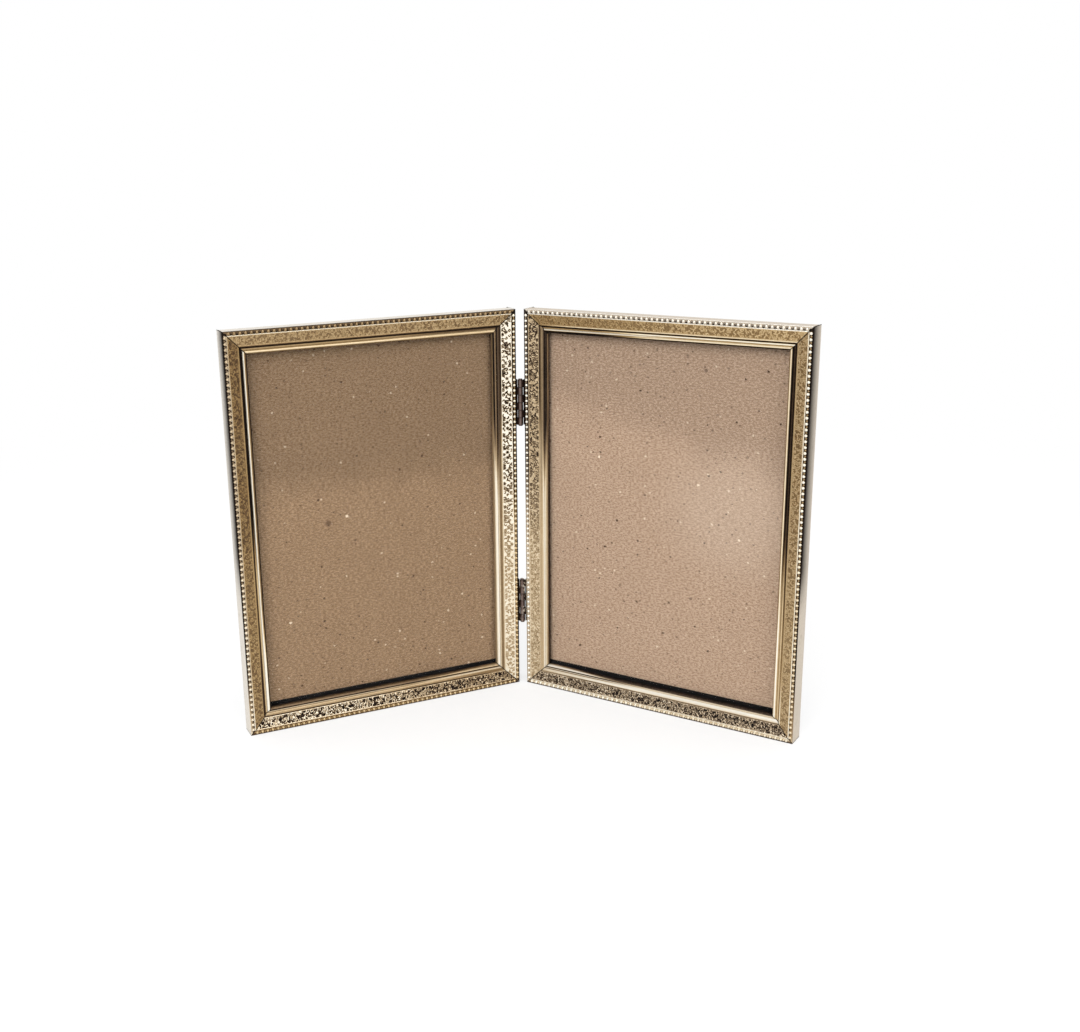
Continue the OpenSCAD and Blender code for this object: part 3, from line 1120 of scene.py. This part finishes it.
@dataclass
class Strip:
    """One mitred length of moulding on a leaf."""

    place: LeafPlace
    run: Run
    look: StripLook
    section: Moulding = field(default_factory=Moulding)

    @property
    def length(self) -> float:
        """Its length along its outer side."""
        return self.place.height if self.run.upright else self.place.width

    @property
    def name(self) -> str:
        """The piece's name, which is its node's with moulding behind it."""
        return f"{self.place.side.word}_{self.run.value}_moulding"

    @property
    def finish(self) -> GiltFinish:
        """Its gilt, whose side along the hinge is darkened with painted shade from the gap between
        the leaves.
        """
        sides = SHADED_HINGE_SIDES if self.run is Run.HINGE else OUTER_SIDES[self.place.side]
        return GiltFinish(f"{self.place.side.word}_{self.run.value}_gilt", *sides)

    def build(self) -> bpy.types.Object:
        """Makes the strip's mesh and dresses it."""
        section = self.section
        top = self.run is Run.TOP
        mesh = mesh_of(self.name, section.shell(self.length, top), 34)
        self.emboss(mesh, top)
        rows = []
        for radius, inset, start in ((section.pearl_r, section.pearl_inset, 0.0),
                                     (section.reel_r, section.reel_inset, 0.5)):
            beads = section.beads(self.length, radius, inset, start)
            row = mesh_of(self.name + "_beads", beads, 50)
            self.mark_beads(row, radius, inset, 0.6 if start else 0.0)
            rows.append(row)
        joined = self.join(mesh, *rows)
        matrix = self.place.run_matrix(self.run)
        joined.transform(matrix)
        if matrix.determinant() < 0:
            joined.flip_normals()
        node = f"{self.place.side.word}_{self.run.value}"
        return settle(self.name, joined, self.finish, f"{self.place.side.word}_leaf",
                      "moulding", node)

    @staticmethod
    def read(mesh: bpy.types.Mesh) -> tuple[np.ndarray, np.ndarray]:
        """The mesh's points and their measure across the section."""
        points = np.empty(len(mesh.vertices) * 3)
        mesh.vertices.foreach_get("co", points)
        across = np.empty(len(mesh.vertices))
        mesh.attributes["across"].data.foreach_get("value", across)
        return points.reshape(-1, 3), across

    @staticmethod
    def write(mesh: bpy.types.Mesh, **numbers: np.ndarray) -> None:
        """Stores numbers at the mesh's points under their names."""
        for name, values in numbers.items():
            layer = mesh.attributes.new(name, "FLOAT", "POINT")
            layer.data.foreach_set("value", values.astype(np.float32))

    def emboss(self, mesh: bpy.types.Mesh, top: bool) -> None:
        """Strikes the band's pattern and works out which places are dark, pale or at a joint, the
        dark and pale being patina and painted light and shade.

        Args:
            mesh: The strip's mesh, in millimetres along, depth and inset.
            top: True for the top rail.
        """
        section, look = self.section, self.look
        points, across = self.read(mesh)
        outer = section.outer_points(top)
        gaps = [math.dist(a, b) for a, b in zip(outer, outer[1:])]
        marks = np.concatenate(([0.0], np.cumsum(gaps)))

        def mark(inset: float, depth: float) -> float:
            """The running measure of one point of the section."""
            away = [math.dist(point, (inset, depth)) for point in outer]
            return float(marks[int(np.argmin(away))])

        start = mark(section.band_inset, 0.0)
        end = mark(section.band_end, section.band_fall)
        last = float(marks[-1])
        on_band = (across >= start) & (across <= end + 1e-4)
        order = np.argsort(points[:, 0], kind="stable")
        order = order[on_band[order]]
        relief = np.ones(len(points))
        relief[order] = look.embossing.relief(
            points[order, 0], across[order] - start, self.length, section.band_width)
        tilt = math.atan2(section.band_fall, section.band_end - section.band_inset)
        lift = (relief - look.embossing.sea_level) * look.embossing.height
        edge = np.minimum(across - start, end - across)
        lift = np.where(on_band, lift * np.clip(edge / look.embossing.border, 0, 1), 0)
        points[:, 1] -= lift * math.cos(tilt)
        points[:, 2] += lift * math.sin(tilt)
        wire = mark(section.wire_inset, -section.wire_proud)
        on_wire = np.abs(across - wire) < section.wire_half
        _, pitch = section.pearls(self.length)
        waves = np.cos(2 * math.pi * (points[:, 0] - section.pearl_start) / pitch)
        points[:, 2] += np.where(on_wire, section.scallop * waves, 0)
        mesh.vertices.foreach_set("co", points.ravel())

        corner = mark(section.edge_r, 0.0)
        bed_start = mark(section.pearl_inset, section.floor_d)
        bed_end = mark(*section.bed_edge)
        bead = mark(*section.bead_top)
        slope_foot = mark(*section.slope_foot)
        lip_start = mark(section.lip_inset - section.lip_r, section.cove_d)
        lip_top = mark(section.lip_inset, section.cove_d - section.lip_r)
        plateaus = {
            "roll": (corner - 0.15, corner + 0.1),
            "groove": (mark(0.36, section.floor_d), mark(0.7, section.floor_d)),
            "bed": (bed_start, bed_end),
            "wire": (wire - 0.1, wire + 0.1),
            "crest": (start, end),
            "bead": (bead - 0.1, bead + 0.12),
            "seam": (mark(*section.slope_top), slope_foot),
            "cove": (slope_foot + 0.2, lip_start),
            "rise": (lip_start + 0.3, lip_start + 1.1),
            "lip": (lip_top - 0.2, lip_top + 0.2),
            "flank": (lip_top + 0.42, lip_top + 1.25),
            "edge": (last - 1.85, last - 1.5),
            "back": (last - 0.9, last),
        }
        places = [place for plateau in plateaus.values() for place in plateau]
        foot, head = (
            np.interp(across, places, np.repeat([getattr(patina, part) for part in plateaus], 2))
            for patina in (look.foot, look.head))
        # Where the painted dark reflection runs down the cove; the foot's tones turn into the
        # head's round it.
        streak = lip_top - (section.lip_inset - look.streak) * section.lip_bow
        turn = look.turn - look.taper * np.abs(across - streak)
        turn = np.where(across < start, look.rim_turn, np.clip(turn, *look.turn_limits))
        place = points[:, 0] / self.length
        share = smooth(-look.blur, look.blur, place - turn)
        tone = foot * (1 - share) + head * share
        share = smooth(look.turn - 0.25, look.turn + 0.15, place)
        notch = look.between("notch", share)
        # Painted shade in the notches between the pearls, on the bed, once a pearl's pitch.
        lean = 0.5 * (across - (bed_start + bed_end) / 2)
        beat = -np.cos(2 * math.pi * (points[:, 0] - section.pearl_start + lean) / pitch)
        in_bed = smooth(bed_start - 0.25, bed_start, across)
        in_bed = in_bed * (1 - smooth(bed_end, bed_end + 0.1, across))
        tone = tone + (notch - tone) * smooth(-0.1, 0.5, beat) * in_bed
        crest, hollow = look.between("crest", share), look.between("hollow", share)
        tone = np.where(on_band, crest + (hollow - crest) * (1 - relief), tone)
        pale = 1 - smooth(-0.3, -0.1, across - corner + look.rim * share)
        pale = np.where(across > last, 0.0, pale)
        mitre = np.minimum(points[:, 0], self.length - points[:, 0]) - points[:, 2]
        speckle = np.where(on_band, look.embossing.speckle, 0.15)
        richness = np.interp(across, (start - 0.2, start), (look.rim_richness, look.richness))
        self.write(mesh, side=pale, tone=tone, mitre=np.abs(mitre), speckle=speckle,
                   richness=richness)

    def mark_beads(self, mesh: bpy.types.Mesh, radius: float, inset: float, dirt: float) -> None:
        """Darkens a row of beads towards the groove that they stand in, patina and painted shade
        together.

        Args:
            mesh: The row's mesh.
            radius: A bead's radius.
            inset: How far in their middles are.
            dirt: How far their tone leans from the pearls' to the notches' painted shade, from 0 to
                1.
        """
        points, _ = self.read(mesh)
        section, look = self.section, self.look
        share = smooth(look.turn - 0.2, look.turn + 0.1, points[:, 0] / self.length)
        pearl = look.between("pearl", share)
        pearl = pearl + (look.between("notch", share) - pearl) * dirt
        rise = (section.floor_d - points[:, 1]) / (section.floor_d + radius - section.pearl_sink)
        inner = smooth(-0.2 * radius, 0.6 * radius, points[:, 2] - inset)
        rim = look.between("groove", share) * (1 - inner) + look.between("bed", share) * inner
        low = 1 - smooth(0.15, 0.6, rise)
        tone = pearl * (1 - low) + rim * low
        none = np.zeros(len(points))
        self.write(mesh, side=none, tone=tone, mitre=none + 9.0, speckle=none,
                   richness=none + look.rim_richness)

    @staticmethod
    def join(*meshes: bpy.types.Mesh) -> bpy.types.Mesh:
        """One mesh of several, the first of which it becomes."""
        bm = bmesh.new()
        for mesh in meshes:
            bm.from_mesh(mesh)
        bm.to_mesh(meshes[0])
        bm.free()
        for spare in meshes[1:]:
            bpy.data.meshes.remove(spare)
        return meshes[0]


@dataclass
class Leaf:
    """One leaf: four strips round the glass, with the back panel behind."""

    place: LeafPlace
    looks: dict[Run, StripLook]
    board: ChipboardFinish

    def build(self) -> None:
        """Builds the strips and dresses what they hold."""
        word = self.place.side.word
        for run, look in self.looks.items():
            piece = Strip(self.place, run, look).build()
            log.info("%s: %d faces", piece.name, len(piece.data.polygons))
        dress(f"{word}_glass", GlassFinish("picture_glass"))
        dress(f"{word}_backing_board", self.board)
        dress(f"{word}_velour_cover", VelourFinish("black_velour"))
        dress(f"{word}_corner_keys", SteelFinish("key_steel"))
        dress(f"{word}_hinge_rivets", BronzedFinish("rivet_bronze", wear=0.7))
        log.info("%s leaf dressed", word)


@dataclass
class Hinges:
    """The two hinges between the leaves."""

    upper: BronzedFinish = BronzedFinish("upper_hinge_bronze", wear=0.25, foot=0.1371)
    lower: BronzedFinish = BronzedFinish("lower_hinge_bronze", wear=1.0, foot=0.0342)

    def build(self) -> None:
        """Dresses the plates and pins."""
        for place, finish in (("upper", self.upper), ("lower", self.lower)):
            for part in ("left_plate", "right_plate", "pin"):
                dress(f"{place}_hinge_{part}", finish)
        log.info("hinges dressed")


# The studio


@dataclass
class Studio:
    """A white table in a plain room, soft lamps and the camera."""

    table_size: float = 12.0
    aim: tuple[float, float, float] = (0.0, 0.0, 0.08)
    lens_focus: float = 1301.69
    image_width: float = 1080.0
    middle_x: float = 477.88
    camera_place: tuple[float, float, float] = (27.99, -597.67, 273.95)
    yaw: float = -4.561
    pitch: float = 16.276
    roll: float = 1.153
    sensor: float = 36.0
    room_light: float = 0.7

    def build(self) -> None:
        """Sets up everything round the object."""
        self.world()
        self.table()
        self.lamps()
        self.camera()
        bpy.context.scene.view_settings.view_transform = "Standard"
        log.info("studio ready")

    @staticmethod
    def seen(r: Recipe) -> Wire:
        """1 for rays that show the surroundings: from the camera, off gloss and through glass."""
        rays = [r.node("ShaderNodeLightPath", out=name)
                for name in ("Is Camera Ray", "Is Glossy Ray", "Is Transmission Ray")]
        return (rays[0] + rays[1] + rays[2]).at_most(1.0)

    def world(self) -> None:
        """White all round to the eye, and a darker room in front of the table to gloss alone."""
        world = bpy.data.worlds.new("studio")
        bpy.context.scene.world = world
        r = Recipe(world)
        _, y, _ = r.axes(r.node("ShaderNodeTexCoord", out="Generated"))
        camera = r.node("ShaderNodeLightPath", out="Is Camera Ray")
        dim = y.step(0.25, -0.25) * (1 - camera)
        show = r.blend(dim, (1.0, 1.0, 1.0), (0.58, 0.56, 0.54))
        light = r.blend(self.seen(r), (self.room_light,) * 3, show)
        r.finish(r.node("ShaderNodeBackground", values={"Color": light, "Strength": 1.0}),
                 "ShaderNodeOutputWorld")

    def table(self) -> None:
        """The white table that the frame stands on."""
        bm = bmesh.new()
        bmesh.ops.create_grid(bm, x_segments=1, y_segments=1, size=self.table_size)
        table = shown("table", mesh_of("table", bm))
        material = bpy.data.materials.new("white_table")
        r = Recipe(material)
        x, y, _ = r.axes(r.place())
        away = (x * x + y * y) ** 0.5
        open_floor = away.step(0.28, 0.75)
        glow = r.blend(open_floor, (0.60,) * 3, (1.0,) * 3)
        shadow = r.blend(open_floor, (0.40,) * 3, (0.0,) * 3)
        floor = r.node("ShaderNodeAddShader", values={
            0: r.node("ShaderNodeEmission", values={"Color": glow, "Strength": 1.0}),
            1: r.node("ShaderNodeBsdfDiffuse", values={"Color": shadow}),
        })
        plain = r.node("ShaderNodeBsdfDiffuse", values={"Color": (0.72, 0.72, 0.72)})
        r.finish(r.node("ShaderNodeMixShader", values={0: self.seen(r), 1: plain, 2: floor}))
        table.data.materials.append(material)
        material.cycles.emission_sampling = "NONE"

    def lamp(self, name: str, place: tuple[float, float, float], size: float, watts: float) -> None:
        """A square soft lamp that faces the object.

        Args:
            name: Its name.
            place: Where it hangs.
            size: Its side.
            watts: Its power.
        """
        data = bpy.data.lights.new(name, "AREA")
        data.shape = "SQUARE"
        data.size = size
        data.energy = watts
        lamp = shown(name, data)
        lamp.location = place
        aim = Vector(self.aim) - Vector(place)
        lamp.rotation_euler = aim.to_track_quat("-Z", "Y").to_euler()

    def lamps(self) -> None:
        """A key lamp from the upper left, a weaker one from the right and one above."""
        self.lamp("key", (-0.45, -1.25, 1.0), 1.0, 11.0)
        self.lamp("fill", (0.9, -1.1, 0.8), 1.0, 6.0)
        self.lamp("above", (0.0, 0.15, 1.5), 1.1, 6.0)

    def camera(self) -> None:
        """The camera, at the angle that the frame is looked at from."""
        data = bpy.data.cameras.new("camera")
        data.sensor_width = self.sensor
        data.lens = self.lens_focus * self.sensor / self.image_width
        data.shift_x = 0.5 - self.middle_x / self.image_width
        data.clip_start, data.clip_end = 0.01, 100.0
        yaw, pitch, roll = (math.radians(v) for v in (self.yaw, self.pitch, self.roll))
        ahead = Vector((math.sin(yaw) * math.cos(pitch), math.cos(yaw) * math.cos(pitch),
                        -math.sin(pitch)))
        level = Vector((math.cos(yaw), -math.sin(yaw), 0))
        down = ahead.cross(level)
        right = level * math.cos(roll) + down * math.sin(roll)
        up = level * math.sin(roll) - down * math.cos(roll)
        turn = Matrix((right, up, -ahead)).transposed().to_4x4()
        camera = shown("camera", data)
        camera.matrix_world = Matrix.Translation(Vector(self.camera_place) * MM) @ turn
        bpy.context.scene.camera = camera


def main() -> None:
    """Builds and dresses everything in order."""
    logging.basicConfig(level=logging.INFO, format="%(message)s")
    boards = {
        # The left board's darker pulp is painted shade: the same chipboard as the right's, less
        # lit.
        Side.LEFT: ChipboardFinish("left_chipboard", paint(153, 126, 100), paint(117, 92, 69),
                                   0.117, spot=(-0.0905, 0.098, 0.0019)),
        Side.RIGHT: ChipboardFinish("right_chipboard", paint(179, 153, 132), paint(144, 118, 98),
                                    0.155, spot=(0.086, 0.170, 0.0011),
                                    bloom=(0.102, 0.105, 0.045), head_share=0.82,
                                    head_lean=0.25, seed=0.37),
    }
    for side in Side:
        Leaf(LeafPlace(side), LOOKS[side], boards[side]).build()
    Hinges().build()
    Studio().build()


if __name__ == "__main__":
    main()
